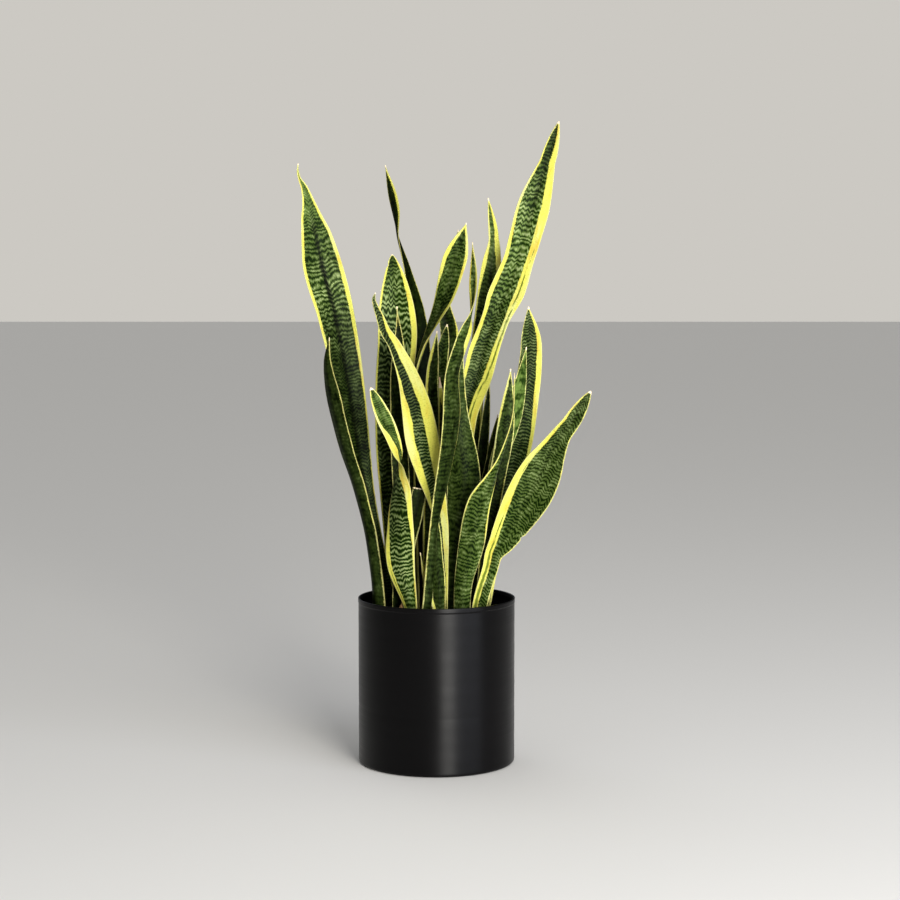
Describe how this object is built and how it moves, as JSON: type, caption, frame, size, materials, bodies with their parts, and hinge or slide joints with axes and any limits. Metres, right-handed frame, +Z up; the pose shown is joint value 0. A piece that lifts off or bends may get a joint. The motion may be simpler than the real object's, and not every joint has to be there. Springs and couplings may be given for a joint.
{
  "type": "potted snake plant",
  "caption": "Upright clump of flat sword-shaped leaves, dark green with pale zigzag bands and yellow edges, growing from soil in a plain black cylindrical planter.",
  "frame": {"origin": "centre of the planter's flat underside, on the surface that the pot stands on", "axes": "+Z up along the planter's axis and the leaves; -Y towards the viewer of the front; +X to the viewer's right, where the tallest leaf leans"},
  "size_m": [0.4634, 0.251, 1.025],
  "materials": {
    "planter_metal": "black satin enamel over spun sheet steel",
    "soil": "damp crumbly potting mix, rough and matt",
    "leaf": "living leaf, waxy satin, dark green with pale bands and yellow edges",
    "dry_sheath": "dry papery leaf base, light brown"
  },
  "bodies": {
    "root": {"planter": "planter_metal", "potting_soil": "soil", "leaf_tall_left": "leaf", "leaf_left_folded": "leaf", "leaf_front_left_twisted": "leaf", "leaf_broad_zigzag": "leaf", "leaf_inner_left_narrow": "leaf", "leaf_gold_edged": "leaf", "leaf_front_centre_slender": "leaf", "leaf_front_centre_short": "leaf", "leaf_centre_broad_dark": "leaf", "leaf_rear_left_twisted": "leaf", "leaf_rear_centre": "leaf", "leaf_rear_centre_second": "leaf", "leaf_inner_centre_left": "leaf", "leaf_inner_centre_right": "leaf", "leaf_inner_dry_tip": "leaf", "leaf_rear_right": "leaf", "leaf_rear_right_slender": "leaf", "leaf_right_inner": "leaf", "leaf_front_right_twisted": "leaf", "leaf_right_pale": "leaf", "leaf_right_inner_pale": "leaf", "leaf_rear_far_right": "leaf", "leaf_right_leaning": "leaf", "leaf_tallest_right": "leaf", "leaf_cut_short": "leaf", "leaf_inner_left_short": "leaf", "basal_sheath": "dry_sheath"}
  },
  "joints": []
}
